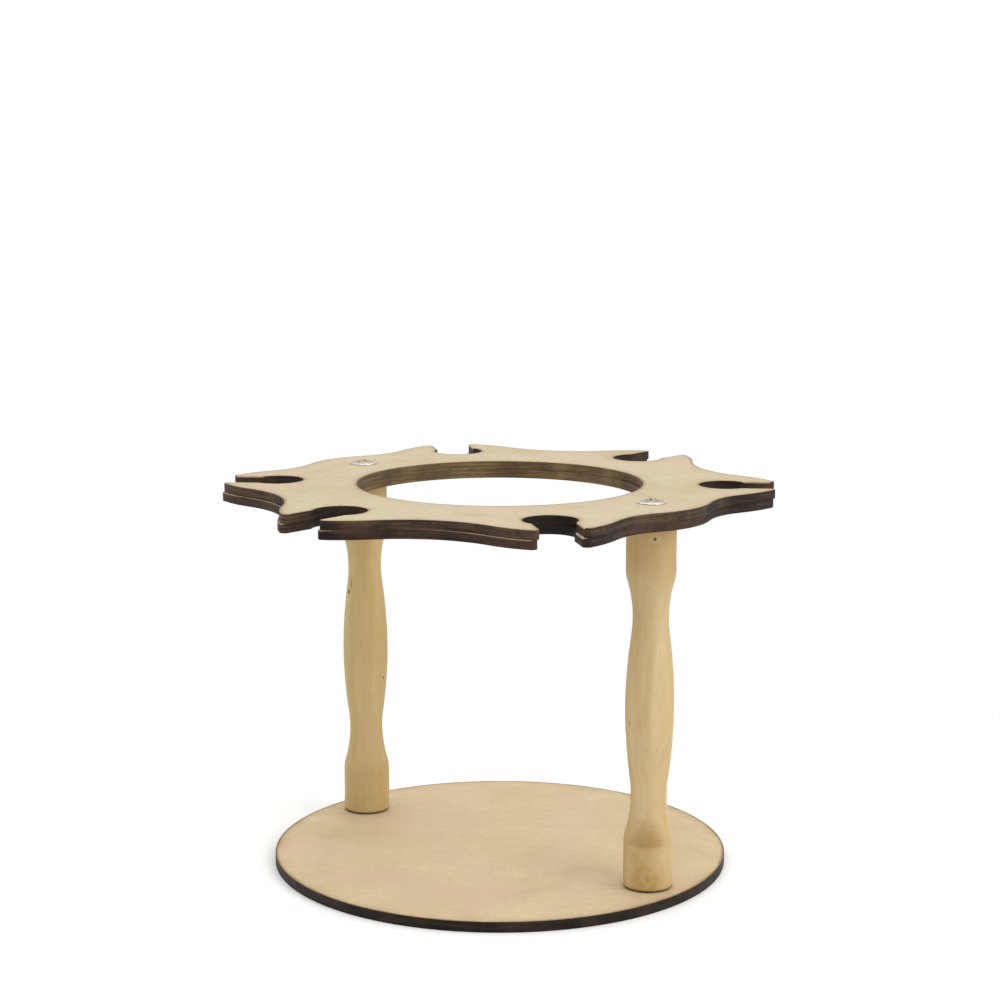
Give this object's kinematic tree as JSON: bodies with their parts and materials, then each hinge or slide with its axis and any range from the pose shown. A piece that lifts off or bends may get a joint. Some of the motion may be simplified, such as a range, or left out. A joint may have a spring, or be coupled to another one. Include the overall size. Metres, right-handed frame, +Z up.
{
  "type": "wine bottle and glass holder",
  "caption": "Table holder for a wine bottle and stemmed glasses: round base, turned wooden posts and a scalloped carrier plate with a bottle hole and keyhole slots.",
  "frame": {"origin": "centre of the round base's underside, on the floor", "axes": "+Z up, X through both posts, Y through the two middle slots"},
  "size_m": [0.1897, 0.2153, 0.1542],
  "materials": {
    "base_board": "bare fibreboard with a burnt rim",
    "plate_board": "bare fibreboard with burnt edges",
    "turned_wood": "bare turned wood",
    "screw_steel": "plated steel"
  },
  "bodies": {
    "root": {"base_disc": "base_board", "post_right": "turned_wood", "post_left": "turned_wood", "plate_lower": "plate_board", "plate_upper": "plate_board", "top_screw_right": "screw_steel", "top_screw_left": "screw_steel", "bottom_screw_right": "screw_steel", "bottom_screw_left": "screw_steel"}
  },
  "joints": []
}
